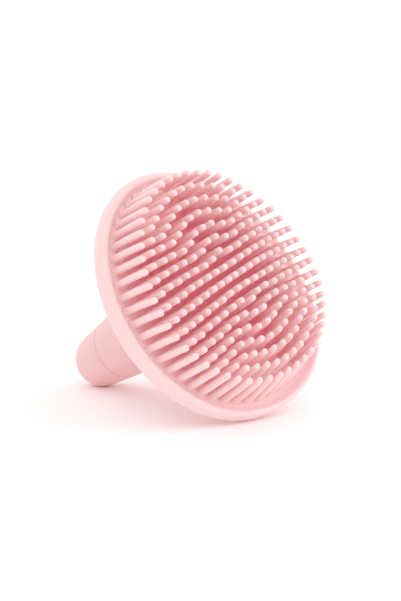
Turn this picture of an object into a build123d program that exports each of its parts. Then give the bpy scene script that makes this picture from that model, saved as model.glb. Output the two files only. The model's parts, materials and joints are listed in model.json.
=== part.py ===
from build123d import *
from math import acos, atan2, cos, degrees, hypot, pi, radians, sin
import os

# Scalp massager brush lying on its side, in millimetres.
# It rests on the lowest point of its rim and on the round end of its grip, bristles forward (-Y) and up.
# Every piece is round about one leaning axis. Along that axis w is 0 at the bristle floor,
# positive towards the bristle tips and negative towards the end of the grip.

# Disc and rim
RIM_R = 42.5            # outer radius of the disc
RIM_ROLL_R = 3.2        # radius of the rolled edge
RIM_W = -1.2            # middle plane of the rolled edge
RIM_CREST_R = 40.5      # highest circle of the rim
RIM_CREST_W = 1.7
PAD_T = 2.4             # thickness of the silicone under the bristles
DISH_R = 38.1           # where the flat bristle floor starts to rise into the rim

# Bristles
BRISTLE_L = 14.0        # floor to tip
BRISTLE_ROOT_R = 1.22
BRISTLE_TIP_R = 1.0
FIELD_R = 36.8          # circle of the outermost bristles
SIDE_RINGS = 8          # rows from the axis to that circle in the two side sectors
END_RINGS = 9           # and in the two end sectors between them
SECTOR_DEG = 60         # angle of a side sector
FIELD_TURN_DEG = -73    # turn of the bristle field about the brush's axis

# Back shell and grip
NECK_W = -20.0          # where the disc's back has narrowed to the grip
NECK_PULL = 0.9         # how far the back's curve keeps to the grip's line, and to the disc's
EDGE_PULL = 1.3
INSIDE_PULL = 0.6
EDGE_SLOPE = 0.18       # rise of the disc's back towards its edge
EDGE_INSET = 0.6        # of the shell's edge from the middle of the rolled edge
EDGE_H = 0.8
REBATE = 5.0            # width of the step that the core plate bears on
WALL_T = 2.4
CAP_END_R = 9.4         # radius of the grip's round end
CAP_END_W = -57.6       # centre of that radius
GRIP_HALF_ANGLE = 7.0   # the grip widens towards the disc
SEAM_W = -47.6
SEAM_GAP = 0.3

# Core plate, tube and fasteners
PLATE_R = 38.0
PLATE_T = 2.6
BOSS_END_W = -14.0
BOSS_PILLAR_R = 6.0     # solid middle of the boss, round the insert
BOSS_POCKET_R = 9.8     # ring-shaped pocket that lightens the boss
TUBE_BORE_R = 5.6
TUBE_WALL_T = 2.2
WEB_W = -30.0           # front of the cross wall inside the grip tube
WEB_T = 4.0
TIE_R = 2.0             # M4 tie screw
TIE_HEAD_R = 3.5
TIE_HEAD_H = 3.0
TIE_HEX_R = 1.7         # hexagon socket, to its corners
TIE_HEX_DEPTH = 1.8
TIE_TIP_W = -7.0
INSERT_R = 3.0
WASHER_R = 4.5
WASHER_T = 0.9
PLATE_SCREW_N = 4
PLATE_SCREW_PCR = 17.5  # radius of the circle of plate screws
PLATE_SCREW_R = 1.25
PLATE_SCREW_HEAD_R = 2.5
PLATE_SCREW_HEAD_H = 1.3
CROSS_RECESS_L = 3.0
CROSS_RECESS_T = 0.6
CROSS_RECESS_DEPTH = 0.8
PLATE_SCREW_TIP_W = -9.5
SCREW_POST_R = 2.9
SCREW_POST_END_W = -10.4

# End cap
CAP_BORE_R = 6.6
CAP_BORE_END_W = -58.6
PLUG_END_W = -58.2
PLUG_NOSE_W = -38.8
PLUG_CHAMFER = 1.0
PLUG_POCKET_R = 3.8
PLUG_POCKET_W = -44.2
FIT = 0.06              # running clearance of the plug in the cap and the tube, and of the seal in its groove
SEAL_R = 0.6            # section radius of the O-ring
SEAL_CLEARANCE = 0.05   # of the O-ring in the tube's bore
SEAL_W = -46.2

# The lean of the axis follows from the two things that the brush rests on.
roll_centre_r = RIM_R - RIM_ROLL_R
rest_span = RIM_W - CAP_END_W
lean = acos((CAP_END_R - RIM_ROLL_R) / hypot(roll_centre_r, rest_span)) - atan2(rest_span, roll_centre_r)
axis_dir = Vector(0, -cos(lean), sin(lean))
up_dir = Vector(0, sin(lean), cos(lean))
cross_dir = up_dir.cross(axis_dir)
floor_height = CAP_END_R - CAP_END_W * sin(lean)


def bristle_rows():
    """Places of the bristles on the floor by ring: one on the axis, 6 to 48 to a ring, 34 in the last."""
    rows = {0: [(0.0, 0.0)]}
    for ring in range(1, END_RINGS + 1):
        places = []
        if ring <= SIDE_RINGS:
            radius = ring * FIELD_R / SIDE_RINGS
            for step in range(ring + 1):
                angle = radians(-SECTOR_DEG / 2 + SECTOR_DEG * step / ring)
                places += [(side * radius * cos(angle), radius * sin(angle)) for side in (1, -1)]
        radius = ring * FIELD_R / END_RINGS
        for step in range(1 - ring, ring):
            angle = radians(SECTOR_DEG * step / ring)
            places += [(radius * sin(angle), end * radius * cos(angle)) for end in (1, -1)]
        rows[ring] = places
    turn = radians(FIELD_TURN_DEG)
    return {
        ring: [(x * cos(turn) - y * sin(turn), x * sin(turn) + y * cos(turn)) for x, y in places]
        for ring, places in rows.items()
    }


# The box's middle is the origin: the lowest row of tips is the front, the grip's end is the back.
tip_w = BRISTLE_L - BRISTLE_TIP_R
rows = bristle_rows()
front = max(tip_w * cos(lean) - y * sin(lean) for places in rows.values() for x, y in places) + BRISTLE_TIP_R
back = CAP_END_R - CAP_END_W * cos(lean)
floor_centre = Vector(0, (front - back) / 2, floor_height)


def station(w):
    """The plane across the brush's axis at w, its X across and its Y up the disc."""
    return Plane(origin=floor_centre + axis_dir * w, x_dir=cross_dir, z_dir=axis_dir)


# Profiles are drawn as (radius, w) in the plane that holds the axis.
profile_plane = Plane(origin=floor_centre, x_dir=up_dir, z_dir=up_dir.cross(axis_dir))
brush_axis = Axis(floor_centre, axis_dir)


def grip_r(w):
    """Outside radius of the grip's cone, tangent to its round end."""
    return (CAP_END_R + (w - CAP_END_W) * sin(radians(GRIP_HALF_ANGLE))) / cos(radians(GRIP_HALF_ANGLE))


def core_r(w):
    """Outside radius of the stiff core, one wall inside the grip."""
    return grip_r(w) - WALL_T


def export(piece, label):
    piece.label = label
    export_step(piece, f"parts/{label}.step")
    print(f"{label}: {len(piece.solids())} solids, {piece.volume:.0f} mm3")


os.makedirs("parts", exist_ok=True)
print(f"lean {degrees(lean):.2f} deg, floor centre {floor_centre.Y:.3f}, {floor_centre.Z:.3f}")

# Bristle pad: floor, dished flange and rolled rim, with a lip turned in behind the plate
roll_bottom = RIM_W - RIM_ROLL_R
plate_back = -PAD_T - PLATE_T
with BuildPart() as bristle_pad:
    with BuildSketch(profile_plane):
        with BuildLine():
            inner = Polyline((0, 0), (0, -PAD_T), (PLATE_R, -PAD_T), (PLATE_R, roll_bottom))
            under = Line(inner @ 1, (roll_centre_r, roll_bottom))
            edge = CenterArc((roll_centre_r, RIM_W), RIM_ROLL_R, -90, 90)
            Spline(edge @ 1, (RIM_CREST_R, RIM_CREST_W), (DISH_R, 0), tangents=((0, 1), (-1, 0)))
            Line((DISH_R, 0), (0, 0))
        make_face()
    revolve(axis=brush_axis)
export(bristle_pad.part, "bristle_pad")

# Bristles: one tapered, round-ended shape, set out in rings
with BuildPart() as bristle:
    with BuildSketch(Plane.XZ):
        with BuildLine():
            side = Line((BRISTLE_ROOT_R, 0), (BRISTLE_TIP_R, tip_w))
            ThreePointArc(
                side @ 1,
                (BRISTLE_TIP_R * sin(pi / 4), tip_w + BRISTLE_TIP_R * sin(pi / 4)),
                (0, BRISTLE_L),
            )
            Polyline((0, BRISTLE_L), (0, 0), (BRISTLE_ROOT_R, 0))
        make_face()
    revolve(axis=Axis.Z)

for ring, places in rows.items():
    with BuildPart(station(0)) as bristle_ring:
        with Locations(*places):
            add(bristle.part)
    export(bristle_ring.part, "bristle_centre" if ring == 0 else f"bristle_ring_{ring}")

# Core plate with its boss, and holes for the screws and the insert
plate_screw_spots = PolarLocations(PLATE_SCREW_PCR, PLATE_SCREW_N, start_angle=45)
with BuildPart() as core_plate:
    with BuildSketch(profile_plane):
        Polygon(
            (0, -PAD_T), (PLATE_R, -PAD_T), (PLATE_R, plate_back), (core_r(BOSS_END_W), plate_back),
            (core_r(BOSS_END_W), BOSS_END_W), (0, BOSS_END_W),
            align=None,
        )
    revolve(axis=brush_axis)
    with BuildSketch(station(BOSS_END_W)):
        Circle(BOSS_POCKET_R)
        Circle(BOSS_PILLAR_R, mode=Mode.SUBTRACT)
    extrude(amount=plate_back - BOSS_END_W, mode=Mode.SUBTRACT)
    with BuildSketch(station(BOSS_END_W)):
        Circle(INSERT_R)
    extrude(amount=TIE_TIP_W - BOSS_END_W, mode=Mode.SUBTRACT)
    with BuildSketch(station(plate_back)):
        with plate_screw_spots:
            Circle(PLATE_SCREW_R)
    extrude(amount=PLATE_T, mode=Mode.SUBTRACT)
    with BuildSketch(station(-PAD_T)):
        with plate_screw_spots:
            Circle(PLATE_SCREW_HEAD_R)
    extrude(amount=-PLATE_SCREW_HEAD_H, mode=Mode.SUBTRACT)
export(core_plate.part, "core_plate")

with BuildPart() as threaded_insert:
    with BuildSketch(station(BOSS_END_W)):
        Circle(INSERT_R)
        Circle(TIE_R, mode=Mode.SUBTRACT)
    extrude(amount=TIE_TIP_W - BOSS_END_W)
export(threaded_insert.part, "threaded_insert")

with BuildPart() as plate_screws:
    with BuildSketch(station(-PAD_T)):
        with plate_screw_spots:
            Circle(PLATE_SCREW_HEAD_R)
    extrude(amount=-PLATE_SCREW_HEAD_H)
    with BuildSketch(station(-PAD_T - PLATE_SCREW_HEAD_H)):
        with plate_screw_spots:
            Circle(PLATE_SCREW_R)
    extrude(amount=PLATE_SCREW_TIP_W + PAD_T + PLATE_SCREW_HEAD_H)
    with BuildSketch(station(-PAD_T)):
        with plate_screw_spots:
            Rectangle(CROSS_RECESS_L, CROSS_RECESS_T)
            Rectangle(CROSS_RECESS_T, CROSS_RECESS_L)
    extrude(amount=-CROSS_RECESS_DEPTH, mode=Mode.SUBTRACT)
export(plate_screws.part, "plate_screws")

# Back shell: disc back, neck and grip, open at the front and at the seam
seam_front = SEAM_W + SEAM_GAP / 2
shell_edge = (roll_centre_r - EDGE_INSET, roll_bottom - EDGE_H)
rebate_r = PLATE_R - REBATE
cone_line = (sin(radians(GRIP_HALF_ANGLE)), cos(radians(GRIP_HALF_ANGLE)))
with BuildPart() as back_shell:
    with BuildSketch(profile_plane):
        with BuildLine():
            cone = Line((grip_r(seam_front), seam_front), (grip_r(NECK_W), NECK_W))
            Spline(
                cone @ 1, shell_edge,
                tangents=(cone_line, (1, EDGE_SLOPE)),
                tangent_scalars=(NECK_PULL, EDGE_PULL),
            )
            Polyline(
                shell_edge, (shell_edge[0], roll_bottom), (PLATE_R, roll_bottom),
                (PLATE_R, plate_back), (rebate_r, plate_back),
            )
            Spline(
                (rebate_r, plate_back), (core_r(BOSS_END_W), BOSS_END_W),
                tangents=((-1, -EDGE_SLOPE), (-cone_line[0], -cone_line[1])),
                tangent_scalars=(NECK_PULL, INSIDE_PULL),
            )
            Polyline(
                (core_r(BOSS_END_W), BOSS_END_W), (core_r(seam_front), seam_front),
                (grip_r(seam_front), seam_front),
            )
        make_face()
    revolve(axis=brush_axis)
    with BuildSketch(station(plate_back)):
        with plate_screw_spots:
            Circle(SCREW_POST_R)
    extrude(amount=SCREW_POST_END_W - plate_back)
    with BuildSketch(station(plate_back)):
        with plate_screw_spots:
            Circle(PLATE_SCREW_R)
    extrude(amount=PLATE_SCREW_TIP_W - plate_back, mode=Mode.SUBTRACT)
export(back_shell.part, "back_shell")

# Grip tube: the stiff core of the grip, with a cross wall for the tie screw
web_back = WEB_W - WEB_T
with BuildPart() as grip_tube:
    with BuildSketch(profile_plane):
        Polygon(
            (TIE_R, WEB_W), (core_r(WEB_W) - TUBE_WALL_T, WEB_W),
            (core_r(BOSS_END_W) - TUBE_WALL_T, BOSS_END_W), (core_r(BOSS_END_W), BOSS_END_W),
            (core_r(seam_front), seam_front), (TUBE_BORE_R, seam_front),
            (TUBE_BORE_R, web_back), (TIE_R, web_back),
            align=None,
        )
    revolve(axis=brush_axis)
export(grip_tube.part, "grip_tube")

with BuildPart() as screw_washer:
    with BuildSketch(station(web_back)):
        Circle(WASHER_R)
        Circle(TIE_R, mode=Mode.SUBTRACT)
    extrude(amount=-WASHER_T)
export(screw_washer.part, "screw_washer")

head_seat = web_back - WASHER_T
with BuildPart() as tie_screw:
    with BuildSketch(station(head_seat)):
        Circle(TIE_HEAD_R)
    extrude(amount=-TIE_HEAD_H)
    with BuildSketch(station(head_seat)):
        Circle(TIE_R)
    extrude(amount=TIE_TIP_W - head_seat)
    with BuildSketch(station(head_seat - TIE_HEAD_H)):
        RegularPolygon(TIE_HEX_R, 6)
    extrude(amount=TIE_HEX_DEPTH, mode=Mode.SUBTRACT)
export(tie_screw.part, "tie_screw")

# End cap: cone and round end, bored for its plug
seam_back = SEAM_W - SEAM_GAP / 2
cone_end_w = CAP_END_W - CAP_END_R * sin(radians(GRIP_HALF_ANGLE))
cone_end_r = CAP_END_R * cos(radians(GRIP_HALF_ANGLE))
with BuildPart() as grip_cap:
    with BuildSketch(profile_plane):
        with BuildLine():
            flank = Line((grip_r(seam_back), seam_back), (cone_end_r, cone_end_w))
            ThreePointArc(
                flank @ 1,
                (CAP_END_R * sin(pi / 4), CAP_END_W - CAP_END_R * cos(pi / 4)),
                (0, CAP_END_W - CAP_END_R),
            )
            Polyline(
                (0, CAP_END_W - CAP_END_R), (0, CAP_BORE_END_W), (CAP_BORE_R, CAP_BORE_END_W),
                (CAP_BORE_R, seam_back), (grip_r(seam_back), seam_back),
            )
        make_face()
    revolve(axis=brush_axis)
export(grip_cap.part, "grip_cap")

# Cap plug: held in the cap, screwed into the tube, with a groove for the seal
plug_nose_r = TUBE_BORE_R - FIT
plug_body_r = CAP_BORE_R - FIT
seal_centre_r = TUBE_BORE_R - SEAL_CLEARANCE - SEAL_R
groove_r = seal_centre_r - SEAL_R - FIT
groove_half_w = SEAL_R + FIT
with BuildPart() as cap_plug:
    with BuildSketch(profile_plane):
        Polygon(
            (0, PLUG_END_W), (plug_body_r, PLUG_END_W), (plug_body_r, seam_back), (plug_nose_r, seam_back),
            (plug_nose_r, SEAL_W - groove_half_w), (groove_r, SEAL_W - groove_half_w),
            (groove_r, SEAL_W + groove_half_w), (plug_nose_r, SEAL_W + groove_half_w),
            (plug_nose_r, PLUG_NOSE_W - PLUG_CHAMFER), (plug_nose_r - PLUG_CHAMFER, PLUG_NOSE_W),
            (PLUG_POCKET_R, PLUG_NOSE_W),
            (PLUG_POCKET_R, PLUG_POCKET_W), (0, PLUG_POCKET_W),
            align=None,
        )
    revolve(axis=brush_axis)
export(cap_plug.part, "cap_plug")

with BuildPart() as seal_ring:
    with BuildSketch(profile_plane):
        with Locations((seal_centre_r, SEAL_W)):
            Circle(SEAL_R)
    revolve(axis=brush_axis)
export(seal_ring.part, "seal_ring")
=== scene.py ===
import json
import random
from math import atan2, cos, hypot, pi, radians, sin, tau

import bpy
from mathutils import Matrix, Vector


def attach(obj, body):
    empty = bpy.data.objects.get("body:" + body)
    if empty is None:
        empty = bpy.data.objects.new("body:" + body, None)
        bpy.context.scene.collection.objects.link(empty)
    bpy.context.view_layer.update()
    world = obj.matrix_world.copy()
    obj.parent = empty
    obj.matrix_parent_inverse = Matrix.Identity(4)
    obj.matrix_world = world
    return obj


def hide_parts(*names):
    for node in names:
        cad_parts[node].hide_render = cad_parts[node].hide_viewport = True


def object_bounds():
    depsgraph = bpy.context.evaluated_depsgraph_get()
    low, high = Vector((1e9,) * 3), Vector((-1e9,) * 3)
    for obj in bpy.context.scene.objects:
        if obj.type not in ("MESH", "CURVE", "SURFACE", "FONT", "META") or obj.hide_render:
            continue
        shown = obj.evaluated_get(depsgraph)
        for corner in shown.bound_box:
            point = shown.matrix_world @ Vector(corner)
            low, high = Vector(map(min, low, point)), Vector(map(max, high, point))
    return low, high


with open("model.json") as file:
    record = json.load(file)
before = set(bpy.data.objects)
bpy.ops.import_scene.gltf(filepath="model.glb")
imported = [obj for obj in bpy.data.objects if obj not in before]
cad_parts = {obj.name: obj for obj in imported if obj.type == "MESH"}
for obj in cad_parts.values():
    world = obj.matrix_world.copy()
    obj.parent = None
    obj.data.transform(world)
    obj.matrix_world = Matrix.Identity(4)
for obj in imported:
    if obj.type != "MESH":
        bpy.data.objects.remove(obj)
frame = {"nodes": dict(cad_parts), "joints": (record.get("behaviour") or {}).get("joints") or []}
cad_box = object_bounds()

# Scalp massager brush. Lengths are in metres. A point on the brush is given by its place along the
# leaning axis, w (0 at the bristle floor, positive towards the tips), its radius, and its turn.
MM = 0.001

# Sizes shared with the CAD model
RIM_R = 42.5 * MM
RIM_ROLL_R = 3.2 * MM
RIM_W = -1.2 * MM
RIM_CREST_R = 40.5 * MM
RIM_CREST_W = 1.7 * MM
PAD_T = 2.4 * MM
DISH_R = 38.1 * MM
PLATE_R = 38.0 * MM
PLATE_T = 2.6 * MM
BRISTLE_L = 14.0 * MM
FIELD_R = 36.8 * MM
SIDE_RINGS = 8
END_RINGS = 9
SECTOR_DEG = 60
FIELD_TURN_DEG = -73
NECK_W = -20.0 * MM
WALL_T = 2.4 * MM
CAP_END_R = 9.4 * MM
CAP_END_W = -57.6 * MM
GRIP_HALF_DEG = 7.0
GRIP_HALF_ANGLE = radians(GRIP_HALF_DEG)
SEAM_W = -47.6 * MM
BOSS_END_W = -14.0 * MM
CAP_BORE_R = 6.6 * MM
CAP_BORE_END_W = -58.6 * MM

# The brush's axis comes from the cap's joint, which turns about it.
cap_turn = next(j for j in frame["joints"] if j["name"] == "cap_turn")
along = -Vector(cap_turn["axis"]).normalized()
floor_centre = Vector(cap_turn["pos_m"]) - along * SEAM_W
across = Vector((1, 0, 0))
up = along.cross(across).normalized()


def place(radius, w, turn=0.0):
    """A point of the brush in the scene; turn 0 is the side of the disc that is uppermost."""
    return floor_centre + along * w + up * (radius * cos(turn)) + across * (radius * sin(turn))


def grip_r(w):
    """Outside radius of the grip's cone, tangent to its round end."""
    return (CAP_END_R + (w - CAP_END_W) * sin(GRIP_HALF_ANGLE)) / cos(GRIP_HALF_ANGLE)


# Mesh helpers

ON_AXIS = 1e-7               # a profile point nearer the axis than this is on it


def bezier(p0, p1, p2, p3, count):
    """Points after p0 along a cubic curve, the last one p3."""
    points = []
    for i in range(1, count + 1):
        t = i / count
        weights = ((1 - t) ** 3, 3 * t * (1 - t) ** 2, 3 * t * t * (1 - t), t ** 3)
        points.append(tuple(sum(k * p[a] for k, p in zip(weights, (p0, p1, p2, p3))) for a in (0, 1)))
    return points


def arc(centre, radius, start_deg, end_deg, count):
    """Points of an arc in the profile, (radius, w), from start to end."""
    turns = [radians(start_deg + (end_deg - start_deg) * i / count) for i in range(count + 1)]
    return [(centre[0] + radius * cos(a), centre[1] + radius * sin(a)) for a in turns]


def line(p0, p1, count):
    """Points after p0 along a straight line, the last one p1."""
    return [tuple(p0[a] + (p1[a] - p0[a]) * i / count for a in (0, 1)) for i in range(1, count + 1)]


def new_piece(name, verts, faces, material, body, nodes):
    """A smooth-shaded mesh object that rides on a body and stands for CAD nodes."""
    mesh = bpy.data.meshes.new(name)
    mesh.from_pydata(verts, [], faces)
    mesh.validate()
    mesh.polygons.foreach_set("use_smooth", [True] * len(mesh.polygons))
    mesh.materials.append(material)
    piece = bpy.data.objects.new(name, mesh)
    bpy.context.scene.collection.objects.link(piece)
    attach(piece, body)
    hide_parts(*nodes)


def revolve(profile, segments, shape=None):
    """Closed surface of revolution of a closed profile of (radius, w); points on the axis close it."""
    verts, rings = [], []
    for radius, w in profile:
        if radius < ON_AXIS:
            rings.append([len(verts)] * segments)
            verts.append(place(0, w))
            continue
        ring = []
        for i in range(segments):
            turn = tau * i / segments
            r, height = shape(radius, w, turn) if shape else (radius, w)
            ring.append(len(verts))
            verts.append(place(r, height, turn))
        rings.append(ring)
    faces = []
    count = len(rings)
    for k in range(count):
        a, b = rings[k], rings[(k + 1) % count]
        for i in range(segments):
            j = (i + 1) % segments
            corners = list(dict.fromkeys([a[i], a[j], b[j], b[i]]))
            if len(corners) > 2:
                faces.append(corners)
    return verts, faces


# Materials. Noise scales are per metre.

RAMP_LOW = 0.3               # stretch of a noise's values that its two colours span
RAMP_HIGH = 0.7
MIX_FACTOR, MIX_A, MIX_B = 0, 6, 7      # sockets of a Mix node that mixes colours
MIX_COLOUR = 2
# Painted shade: the silicone colours are darkened towards the roots in the middle of the field, for the
# shade between the bristles, and fade back to their own colour where light reaches in.
OPEN_FROM_R = 24.0 * MM      # light reaches between the bristles more and more outside this circle,
OPEN_R = 38.0 * MM           # fully at this one,
OPEN_W = 9.0 * MM            # and fully at this height above the floor
CLOUD_SCALE = 90
GRAIN_SCALE = 5200
GRAIN_STRENGTH = 0.12
GRAIN_H = 0.06 * MM
SCATTER_TINT = (1.0, 0.6, 0.55)         # red light goes deepest into the silicone
SCATTER_DEPTH = 0.9 * MM
SILICONE_IOR = 1.41
SILICONE_SPECULAR = 0.35
SHEEN_ROUGHNESS = 0.5
FLOW_SCALE = 60
SPARK_SCALE = 3500
SPARK_STRENGTH = 0.2
SPARK_H = 0.05 * MM
LATHE_STRENGTH = 0.15
LATHE_H = 0.04 * MM


def principled(name):
    material = bpy.data.materials.new(name)
    material.use_nodes = True
    return material, material.node_tree, material.node_tree.nodes["Principled BSDF"]


def noise(tree, scale, detail, source):
    node = tree.nodes.new("ShaderNodeTexNoise")
    node.inputs["Scale"].default_value = scale
    node.inputs["Detail"].default_value = detail
    tree.links.new(source, node.inputs["Vector"])
    return node.outputs["Fac"]


def colour_ramp(tree, value, low, high):
    ramp = tree.nodes.new("ShaderNodeValToRGB")
    ramp.color_ramp.elements[0].position = RAMP_LOW
    ramp.color_ramp.elements[1].position = RAMP_HIGH
    ramp.color_ramp.elements[0].color = (*low, 1)
    ramp.color_ramp.elements[1].color = (*high, 1)
    tree.links.new(value, ramp.inputs["Fac"])
    return ramp.outputs["Color"]


def value_range(tree, value, low, high, from_low=0.0, from_high=1.0):
    """The value stretched from its own range to low ... high, and held there."""
    node = tree.nodes.new("ShaderNodeMapRange")
    node.inputs["From Min"].default_value = from_low
    node.inputs["From Max"].default_value = from_high
    node.inputs["To Min"].default_value = low
    node.inputs["To Max"].default_value = high
    tree.links.new(value, node.inputs["Value"])
    return node.outputs["Result"]


def uneven_roughness(tree, shader, pattern, roughness, smoother, rougher):
    """Roughness that follows a noise pattern, down by smoother and up by rougher at its two ends."""
    spread = value_range(tree, pattern, roughness - smoother, roughness + rougher)
    tree.links.new(spread, shader.inputs["Roughness"])


def bump(tree, shader, height, strength, distance):
    node = tree.nodes.new("ShaderNodeBump")
    node.inputs["Strength"].default_value = strength
    node.inputs["Distance"].default_value = distance
    tree.links.new(height, node.inputs["Height"])
    tree.links.new(node.outputs["Normal"], shader.inputs["Normal"])


def vector_math(tree, operation, source, constant=None):
    node = tree.nodes.new("ShaderNodeVectorMath")
    node.operation = operation
    tree.links.new(source, node.inputs[0])
    if constant is not None:
        node.inputs[1].default_value = constant
    return node


def from_floor_centre(tree, coords):
    """The point's offset from the middle of the bristle floor."""
    return vector_math(tree, "SUBTRACT", coords, floor_centre).outputs["Vector"]


def unshaded_by_radius(tree, coords):
    """Share of light for the painted shade: 0 in the middle of the bristle field and 1 at its edge and
    outside it.
    """
    offset = from_floor_centre(tree, coords)
    sideways = vector_math(tree, "CROSS_PRODUCT", offset, along).outputs["Vector"]
    radius = vector_math(tree, "LENGTH", sideways).outputs["Value"]
    return value_range(tree, radius, 0.0, 1.0, OPEN_FROM_R, OPEN_R)


def unshaded_by_height_and_radius(tree, coords):
    """Share of light for the painted shade on the bristles: 0 at the roots in the middle of the field and 1
    in its upper part and at its edge.
    """
    offset = from_floor_centre(tree, coords)
    height = vector_math(tree, "DOT_PRODUCT", offset, along).outputs["Value"]
    node = tree.nodes.new("ShaderNodeMath")
    node.operation = "ADD"
    node.use_clamp = True
    tree.links.new(value_range(tree, height, 0.0, 1.0, 0.0, OPEN_W), node.inputs[0])
    tree.links.new(unshaded_by_radius(tree, coords), node.inputs[1])
    return node.outputs["Value"]


def silicone(name, low, high, roughness, sheen, scatter, painted_shade=None, share=None):
    """Matte moulded silicone: soft light inside it, fine grain, and a faint cloudiness of its pigment.
    Where share is 0 the colour is painted shade: the darker rose given, for the shade that falls between the
    bristles."""
    material, tree, shader = principled(name)
    coords = tree.nodes.new("ShaderNodeTexCoord").outputs["Object"]
    cloud = noise(tree, CLOUD_SCALE, 3, coords)
    grain = noise(tree, GRAIN_SCALE, 2, coords)
    colour = colour_ramp(tree, cloud, low, high)
    # Painted shade: where share is low the colour goes to the darker rose given, for the shade between the
    # bristles.
    if share:
        blend = tree.nodes.new("ShaderNodeMix")
        blend.data_type = "RGBA"
        tree.links.new(share(tree, coords), blend.inputs[MIX_FACTOR])
        blend.inputs[MIX_A].default_value = (*painted_shade, 1)
        tree.links.new(colour, blend.inputs[MIX_B])
        colour = blend.outputs[MIX_COLOUR]
    tree.links.new(colour, shader.inputs["Base Color"])
    uneven_roughness(tree, shader, cloud, roughness, smoother=0.05, rougher=0.06)
    bump(tree, shader, grain, GRAIN_STRENGTH, GRAIN_H)
    shader.inputs["Subsurface Weight"].default_value = scatter
    shader.inputs["Subsurface Radius"].default_value = SCATTER_TINT
    shader.inputs["Subsurface Scale"].default_value = SCATTER_DEPTH
    shader.inputs["IOR"].default_value = SILICONE_IOR
    shader.inputs["Specular IOR Level"].default_value = SILICONE_SPECULAR
    shader.inputs["Sheen Weight"].default_value = sheen
    shader.inputs["Sheen Roughness"].default_value = SHEEN_ROUGHNESS
    return material


def plastic(name, low, high, roughness):
    """Natural moulded plastic with a faint flow pattern and a fine spark-eroded grain."""
    material, tree, shader = principled(name)
    coords = tree.nodes.new("ShaderNodeTexCoord").outputs["Object"]
    flow = noise(tree, FLOW_SCALE, 4, coords)
    tree.links.new(colour_ramp(tree, flow, low, high), shader.inputs["Base Color"])
    uneven_roughness(tree, shader, flow, roughness, smoother=0.08, rougher=0.08)
    bump(tree, shader, noise(tree, SPARK_SCALE, 2, coords), SPARK_STRENGTH, SPARK_H)
    return material


def metal(name, low, high, roughness, grain_scale):
    """Turned metal with fine lathe marks and slightly uneven polish."""
    material, tree, shader = principled(name)
    coords = tree.nodes.new("ShaderNodeTexCoord").outputs["Object"]
    marks = noise(tree, grain_scale, 5, coords)
    tree.links.new(colour_ramp(tree, marks, low, high), shader.inputs["Base Color"])
    uneven_roughness(tree, shader, marks, roughness, smoother=0.07, rougher=0.10)
    bump(tree, shader, marks, LATHE_STRENGTH, LATHE_H)
    shader.inputs["Metallic"].default_value = 1.0
    return material


# The pad's floor and the bristles go to a darker rose towards the middle of the field and the roots: painted
# shade for the shade between the bristles.
face_silicone = silicone(
    "face_silicone", low=(0.905, 0.64, 0.645), high=(0.92, 0.665, 0.67),
    roughness=0.50, sheen=0.12, scatter=0.30, painted_shade=(0.88, 0.33, 0.41), share=unshaded_by_radius,
)
bristle_silicone = silicone(
    "bristle_silicone", low=(0.905, 0.65, 0.655), high=(0.92, 0.68, 0.685),
    roughness=0.54, sheen=0.08, scatter=0.30, painted_shade=(0.90, 0.46, 0.51), share=unshaded_by_height_and_radius,
)
grip_skin = silicone(
    "grip_skin", low=(0.855, 0.545, 0.547), high=(0.87, 0.57, 0.572),
    roughness=0.54, sheen=0.14, scatter=0.30,
)
seal_rubber = silicone(
    "seal_rubber", low=(0.012, 0.012, 0.014), high=(0.02, 0.02, 0.022),
    roughness=0.6, sheen=0.0, scatter=0.0,
)
core_plastic = plastic("core_plastic", low=(0.70, 0.66, 0.61), high=(0.78, 0.74, 0.69), roughness=0.45)
screw_steel = metal(
    "screw_steel", low=(0.48, 0.48, 0.50), high=(0.62, 0.62, 0.64), roughness=0.32, grain_scale=900)
insert_brass = metal(
    "insert_brass", low=(0.62, 0.43, 0.16), high=(0.78, 0.58, 0.26), roughness=0.34, grain_scale=1400)

for node, material in {
    "core_plate": core_plastic,
    "grip_tube": core_plastic,
    "cap_plug": core_plastic,
    "plate_screws": screw_steel,
    "tie_screw": screw_steel,
    "screw_washer": screw_steel,
    "threaded_insert": insert_brass,
    "seal_ring": seal_rubber,
}.items():
    for material_slot in frame["nodes"][node].material_slots:
        material_slot.material = material


# Bristle pad: floor, dish and rolled rim

DISC_SEGMENTS = 288
DISH_PULL = 1.2 * MM         # how far the curve leaves the floor along it,
CREST_PULL_IN = 1.0 * MM     # how far it keeps level inside the crest
CREST_PULL_OUT = 1.2 * MM    # and outside it,
SIDE_PULL_UP = 1.8 * MM      # and how far it keeps upright over the rim's side
CURL = 4.2 * MM              # the soft flange has curled forward on one side,
CURL_TURN = radians(135)
CURL_SPREAD = 3.5
THINNING = 0.9 * MM          # where its edge is also thinner, with its crest further out,
DROOP = 1.6 * MM             # and droops back at the top
DROOP_TURN = radians(15)
FLEX_R = 33.0 * MM           # the bristle floor stays flat inside this circle


def pad_profile():
    rolled = (RIM_R - RIM_ROLL_R, RIM_W)
    rim_side = (RIM_R, RIM_W)
    crest = (RIM_CREST_R, RIM_CREST_W)
    dish = (DISH_R, 0)
    under_w = RIM_W - RIM_ROLL_R
    profile = [(0, 0)] + line((0, 0), dish, 40)
    profile += bezier(dish, (DISH_R + DISH_PULL, 0), (RIM_CREST_R - CREST_PULL_IN, RIM_CREST_W), crest, 14)
    profile += bezier(
        crest, (RIM_CREST_R + CREST_PULL_OUT, RIM_CREST_W), (RIM_R, RIM_W + SIDE_PULL_UP), rim_side, 12)
    profile += arc(rolled, RIM_ROLL_R, 0, -90, 14)[1:]
    profile += line((rolled[0], under_w), (PLATE_R, under_w), 2)
    profile += line((PLATE_R, under_w), (PLATE_R, -PAD_T), 2)
    profile += line((PLATE_R, -PAD_T), (0, -PAD_T), 8)
    return profile


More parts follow.
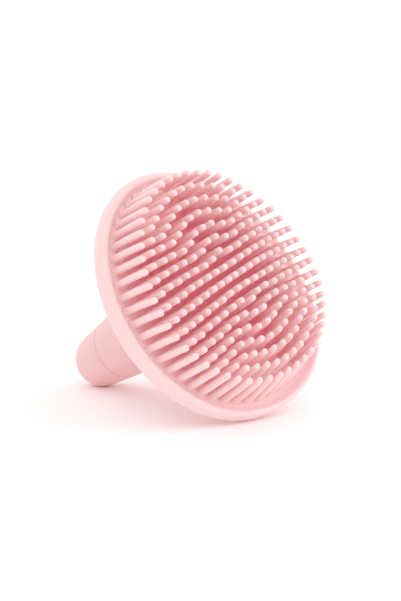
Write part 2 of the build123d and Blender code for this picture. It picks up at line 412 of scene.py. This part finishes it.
def soft_rim(radius, w, turn):
    """The flange as it has curled; underneath, the stiff core plate holds it flat out to its own edge."""
    flat_r = FLEX_R if w > -PAD_T / 2 else PLATE_R
    share = min(1.0, max(0.0, (radius - flat_r) / (RIM_CREST_R - flat_r)))
    share = share * share * (3 - 2 * share)
    curled = max(0.0, cos(turn - CURL_TURN))
    drooped = max(0.0, cos(turn - DROOP_TURN))
    lift = share * (CURL * curled ** CURL_SPREAD - DROOP * drooped ** 2)
    if w > RIM_W and radius > DISH_R:
        outward = (radius - DISH_R) / (RIM_R - DISH_R)
        radius += THINNING * curled * 4 * outward * (1 - outward)
    return radius, w + lift


verts, faces = revolve(pad_profile(), DISC_SEGMENTS, soft_rim)
new_piece("pad_skin", verts, faces, face_silicone, "brush", ["bristle_pad"])


# Bristles: tapered, round-ended, with a flared root, each with its own slight lean and bend

ROOT_FLARE_R = 1.65 * MM
SHAFT_ROOT_R = 1.21 * MM
SHAFT_TIP_R = 1.05 * MM
FLARE_H = 1.0 * MM
FLARE_POWER = 2.4
FLARE_STEPS = 5
SHAFT_STEPS = 8
TIP_STEPS = 6
ROOT_SINK = 0.25 * MM
BRISTLE_SIDES = 20
BEND = 0.45                  # share of a tip's lean that comes from bending, not from tilting
LENGTH_SPREAD = 0.008
WAVER = 0.12 * MM            # spread of the tips about their places
SIDE_LEAN = 1.3              # in mm, how much further the two side sectors lean inward,
END_SHARE = 0.5              # and the share of it that the end sectors lean outward
FRONT_MARGIN = 0.05 * MM     # between the foremost tips and the front of the CAD model's box
EASE = 0.8                   # a lean that goes past it is cut to this share until it fits,
LEAN_MIN = 0.001 * MM        # or until it is this small
SEED = 11


def bristle_rows():
    """Places of the bristles by ring, in the disc's own across and up directions."""
    rows = {0: [(0.0, 0.0)]}
    for ring in range(1, END_RINGS + 1):
        places = []
        if ring <= SIDE_RINGS:
            radius = ring * FIELD_R / SIDE_RINGS
            for step in range(ring + 1):
                angle = radians(-SECTOR_DEG / 2 + SECTOR_DEG * step / ring)
                places += [(side * radius * cos(angle), radius * sin(angle)) for side in (1, -1)]
        radius = ring * FIELD_R / END_RINGS
        for step in range(1 - ring, ring):
            angle = radians(SECTOR_DEG * step / ring)
            places += [(radius * sin(angle), end * radius * cos(angle)) for end in (1, -1)]
        rows[ring] = places
    turn = radians(FIELD_TURN_DEG)
    return {
        ring: [(x * cos(turn) - y * sin(turn), x * sin(turn) + y * cos(turn)) for x, y in places]
        for ring, places in rows.items()
    }


def bristle_profile(length):
    """(radius, height) from the sunk root to the tip."""
    profile = [(ROOT_FLARE_R, -ROOT_SINK)]
    for i in range(FLARE_STEPS + 1):
        t = i / FLARE_STEPS
        profile.append((SHAFT_ROOT_R + (ROOT_FLARE_R - SHAFT_ROOT_R) * (1 - t) ** FLARE_POWER, FLARE_H * t))
    shoulder = length - SHAFT_TIP_R
    for i in range(1, SHAFT_STEPS + 1):
        t = i / SHAFT_STEPS
        profile.append((SHAFT_ROOT_R + (SHAFT_TIP_R - SHAFT_ROOT_R) * t, FLARE_H + (shoulder - FLARE_H) * t))
    for i in range(1, TIP_STEPS + 1):
        a = i / TIP_STEPS * pi / 2
        profile.append((SHAFT_TIP_R * cos(a), shoulder + SHAFT_TIP_R * sin(a)))
    return profile


def add_bristle(verts, faces, x, y, shift, length, spin):
    """One bristle at (x, y) on the floor; its tip is moved sideways by shift, in a gentle bend."""
    first = len(verts)
    base = floor_centre + across * x + up * y
    profile = bristle_profile(length)
    for radius, height in profile[:-1]:
        t = max(0.0, height / length)
        centre = base + along * height + shift * ((1 - BEND) * t + BEND * t * t)
        for i in range(BRISTLE_SIDES):
            a = tau * i / BRISTLE_SIDES + spin
            verts.append(centre + across * (radius * cos(a)) + up * (radius * sin(a)))
    rows_made = len(profile) - 1
    for k in range(rows_made - 1):
        for i in range(BRISTLE_SIDES):
            j = (i + 1) % BRISTLE_SIDES
            a, b = first + k * BRISTLE_SIDES, first + (k + 1) * BRISTLE_SIDES
            faces.append([a + i, a + j, b + j, b + i])
    verts.append(base + along * length + shift)
    last = first + (rows_made - 1) * BRISTLE_SIDES
    for i in range(BRISTLE_SIDES):
        faces.append([last + i, last + (i + 1) % BRISTLE_SIDES, len(verts) - 1])
    faces.append([first + i for i in reversed(range(BRISTLE_SIDES))])


def tip_lean(x, y):
    """How far the tip of the bristle rooted at (x, y) leans from straight. Each direction is a quadratic
    of the root's place, in mm, whose coefficients were fitted to the tips seen in the photo."""
    x, y = x / FIELD_R, y / FIELD_R
    lean_across = -0.11 - 0.45 * x - 1.41 * y - 0.17 * x * x - 0.93 * x * y - 0.86 * y * y
    lean_up = 0.06 + 0.22 * x - 1.58 * y - 1.60 * x * x - 1.50 * x * y + 0.78 * y * y
    sideness = cos(2 * (atan2(y, x) - radians(FIELD_TURN_DEG)))
    inward = SIDE_LEAN * hypot(x, y) * (sideness ** 2 if sideness > 0 else END_SHARE * sideness)
    return (across * (lean_across - inward * x) + up * (lean_up - inward * y)) * MM


front_limit = cad_box[0][1] + FRONT_MARGIN
draws = random.Random(SEED)
for ring, places in bristle_rows().items():
    verts, faces = [], []
    for x, y in places:
        waver = (across * draws.gauss(0, 1) + up * draws.gauss(0, 1)) * WAVER
        shift = tip_lean(x, y) + waver
        length = BRISTLE_L * (1 - LENGTH_SPREAD * draws.random())
        spin = draws.random()
        tip_y = (floor_centre + across * x + up * y + along * (length - SHAFT_TIP_R)).y - SHAFT_TIP_R
        while tip_y + shift.y < front_limit and shift.length > LEAN_MIN:
            shift *= EASE
        add_bristle(verts, faces, x, y, shift, length, spin)
    node = "bristle_centre" if ring == 0 else f"bristle_ring_{ring}"
    new_piece(f"{node}_soft", verts, faces, bristle_silicone, "brush", [node])


# Back shell: disc back, neck and grip

SEAM_GAP = 0.14 * MM         # the lips of the two skins close most of the gap that the CAD leaves
LIP_R = 0.25 * MM            # rounding of each lip
LIP_PULL = 0.4 * LIP_R
EDGE_INSET = 0.6 * MM        # of the shell's edge from the middle of the rolled rim
EDGE_H = 0.8 * MM
EDGE_SLOPE = 0.19
EDGE_PULL = 14.0 * MM        # how far the back's curve keeps to its slope at the edge,
NECK_PULL = 9.0 * MM         # and to the grip's slope at the neck
REBATE = 5.0 * MM            # width of the step behind the core plate
INSIDE_PULL = (9.0 * MM, 1.4 * MM)      # the inside's curve starts inward and back from that step,
CORE_PULL = (1.6 * MM, 5.0 * MM)        # and comes in to the core from outside it and in front


def lip_curve(corner, start, end, side):
    """Rounding of a lip whose sharp corner is given; side is 1 for the shell's lip, -1 for the cap's."""
    inner = (corner[0] - LIP_PULL, corner[1])
    outer = (corner[0], corner[1] + side * LIP_PULL)
    return bezier(start, inner, outer, end, 5)


def shell_profile():
    seam_front = SEAM_W + SEAM_GAP / 2
    roll_bottom = RIM_W - RIM_ROLL_R
    plate_back = -PAD_T - PLATE_T
    edge = (RIM_R - RIM_ROLL_R - EDGE_INSET, roll_bottom - EDGE_H)
    neck = (grip_r(NECK_W), NECK_W)
    corner = (grip_r(seam_front), seam_front)
    slope = (sin(GRIP_HALF_ANGLE), cos(GRIP_HALF_ANGLE))
    flank = (corner[0] + slope[0] * LIP_R, corner[1] + LIP_R)
    rebate = (PLATE_R - REBATE, plate_back)
    core = (grip_r(BOSS_END_W) - WALL_T, BOSS_END_W)

    profile = [(corner[0] - LIP_R, seam_front)]
    profile += lip_curve(corner, profile[0], flank, 1)
    profile += line(flank, neck, 24)
    profile += bezier(
        neck,
        (neck[0] + slope[0] * NECK_PULL, neck[1] + slope[1] * NECK_PULL),
        (edge[0] - EDGE_PULL, edge[1] - EDGE_PULL * EDGE_SLOPE),
        edge,
        32,
    )
    profile += line(edge, (edge[0], roll_bottom), 2)
    profile += [(PLATE_R, roll_bottom), (PLATE_R, plate_back)]
    profile += line((PLATE_R, plate_back), rebate, 2)
    profile += bezier(
        rebate,
        (rebate[0] - INSIDE_PULL[0], rebate[1] - INSIDE_PULL[1]),
        (core[0] + CORE_PULL[0], core[1] + CORE_PULL[1]),
        core,
        16,
    )
    profile += line(core, (corner[0] - WALL_T, seam_front), 10)
    return profile


verts, faces = revolve(shell_profile(), DISC_SEGMENTS, soft_rim)
new_piece("shell_skin", verts, faces, grip_skin, "brush", ["back_shell"])


# End cap, with its rounded lip and the fine line that its mould left from the seam to the end

CAP_SEGMENTS = 720           # fine enough for the mould line
LINE_TURN = radians(258)
LINE_HALF_W = 0.3 * MM
LINE_H = 0.13 * MM


def cap_profile():
    seam_back = SEAM_W - SEAM_GAP / 2
    corner = (grip_r(seam_back), seam_back)
    flank = (corner[0] - sin(GRIP_HALF_ANGLE) * LIP_R, corner[1] - LIP_R)
    tangent = (CAP_END_R * cos(GRIP_HALF_ANGLE), CAP_END_W - CAP_END_R * sin(GRIP_HALF_ANGLE))
    profile = [(0, CAP_BORE_END_W)]
    profile += line((0, CAP_BORE_END_W), (CAP_BORE_R, CAP_BORE_END_W), 3)
    profile += line((CAP_BORE_R, CAP_BORE_END_W), (CAP_BORE_R, seam_back), 4)
    profile += line((CAP_BORE_R, seam_back), (corner[0] - LIP_R, seam_back), 2)
    profile += lip_curve(corner, profile[-1], flank, -1)
    profile += line(flank, tangent, 14)
    profile += arc((0, CAP_END_W), CAP_END_R, -GRIP_HALF_DEG, -90, 30)[1:-1]
    profile += [(0, CAP_END_W - CAP_END_R)]
    return profile


def mould_line(radius, w, turn):
    """The cap's surface, raised a little along its mould line."""
    in_bore = radius < CAP_BORE_R + LIP_R and w > CAP_BORE_END_W
    aside = radius * abs((turn - LINE_TURN + pi) % tau - pi) / LINE_HALF_W
    if in_bore or aside > 1:
        return radius, w
    return radius + LINE_H * (1 - aside * aside), w


verts, faces = revolve(cap_profile(), CAP_SEGMENTS, mould_line)
new_piece("cap_skin", verts, faces, grip_skin, "cap", ["grip_cap"])


# Floor, camera and lights. The floor is a sheet of white paper that sweeps up behind the object.

SWEEP_FRONT = -3.0           # its near end, measured from the object
SWEEP_DEPTH = 1.2            # where it starts to curve up
SWEEP_R = 0.8
SWEEP_TOP = 2.5
SWEEP_HALF_W = 3.0
SWEEP_STEPS = 24
PAPER_WHITE = (0.985, 0.985, 0.985, 1)
PAPER_ROUGHNESS = 0.95
CAMERA_AZIMUTH = radians(46.1)      # from the front (-Y) towards -X
CAMERA_ELEVATION = radians(9.1)
CAMERA_DISTANCE = 0.4405
CAMERA_CLIP = 0.01
LENS_MM = 84.0
AIM_RIGHT = -2.1 * MM        # aim point, beside and below the middle of the rim
AIM_UP = -2.4 * MM
WORLD_WHITE = (1, 1, 1, 1)
WORLD_STRENGTH = 0.995
DIFFUSE_BOUNCES = 12         # light goes a long way between the pale bristles
MAX_BOUNCES = 16

towards_camera = Vector((
    -sin(CAMERA_AZIMUTH) * cos(CAMERA_ELEVATION),
    -cos(CAMERA_AZIMUTH) * cos(CAMERA_ELEVATION),
    sin(CAMERA_ELEVATION),
))
camera_right = Vector((cos(CAMERA_AZIMUTH), -sin(CAMERA_AZIMUTH), 0))
camera_up = towards_camera.cross(camera_right)
aim = place(0, RIM_W) + camera_right * AIM_RIGHT + camera_up * AIM_UP
camera_data = bpy.data.cameras.new("camera")
camera_data.lens = LENS_MM
camera_data.clip_start = CAMERA_CLIP
camera = bpy.data.objects.new("camera", camera_data)
basis = Matrix((camera_right, camera_up, towards_camera)).transposed()
camera.matrix_world = Matrix.Translation(aim + towards_camera * CAMERA_DISTANCE) @ basis.to_4x4()
bpy.context.scene.collection.objects.link(camera)
bpy.context.scene.camera = camera


def sweep_section():
    """Depth and height of the paper, from in front of the object up behind it."""
    section = [(SWEEP_FRONT, 0.0), (SWEEP_DEPTH, 0.0)]
    for i in range(1, SWEEP_STEPS + 1):
        a = i / SWEEP_STEPS * pi / 2
        section.append((SWEEP_DEPTH + SWEEP_R * sin(a), SWEEP_R * (1 - cos(a))))
    return section + [(SWEEP_DEPTH + SWEEP_R, SWEEP_TOP)]


away = Vector((sin(CAMERA_AZIMUTH), cos(CAMERA_AZIMUTH), 0))
section = sweep_section()
verts = [
    away * depth + camera_right * side + Vector((0, 0, height))
    for depth, height in section
    for side in (-SWEEP_HALF_W, SWEEP_HALF_W)
]
faces = [[2 * i, 2 * i + 1, 2 * i + 3, 2 * i + 2] for i in range(len(section) - 1)]
paper, _, paper_shader = principled("paper_white")
paper_shader.inputs["Base Color"].default_value = PAPER_WHITE
paper_shader.inputs["Roughness"].default_value = PAPER_ROUGHNESS
mesh = bpy.data.meshes.new("sweep")
mesh.from_pydata(verts, [], faces)
mesh.polygons.foreach_set("use_smooth", [True] * len(mesh.polygons))
mesh.materials.append(paper)
floor = bpy.data.objects.new("sweep", mesh)
bpy.context.scene.collection.objects.link(floor)


def softbox(name, position, size, power):
    data = bpy.data.lights.new(name, "AREA")
    data.shape = "DISK"
    data.size = size
    data.energy = power
    light = bpy.data.objects.new(name, data)
    light.location = position
    light.rotation_euler = (aim - Vector(position)).to_track_quat("-Z", "Y").to_euler()
    bpy.context.scene.collection.objects.link(light)


softbox("key", position=(-0.55, -0.35, 0.75), size=0.7, power=0.75)
softbox("fill", position=(0.45, -0.65, 0.35), size=0.7, power=1.5)
softbox("back", position=(0.15, 0.7, 0.6), size=0.6, power=0.6)

world = bpy.data.worlds.new("studio")
world.use_nodes = True
background = world.node_tree.nodes["Background"]
background.inputs["Color"].default_value = WORLD_WHITE
background.inputs["Strength"].default_value = WORLD_STRENGTH
scene = bpy.context.scene
scene.world = world
scene.view_settings.view_transform = "Standard"
scene.cycles.diffuse_bounces = DIFFUSE_BOUNCES
scene.cycles.max_bounces = MAX_BOUNCES
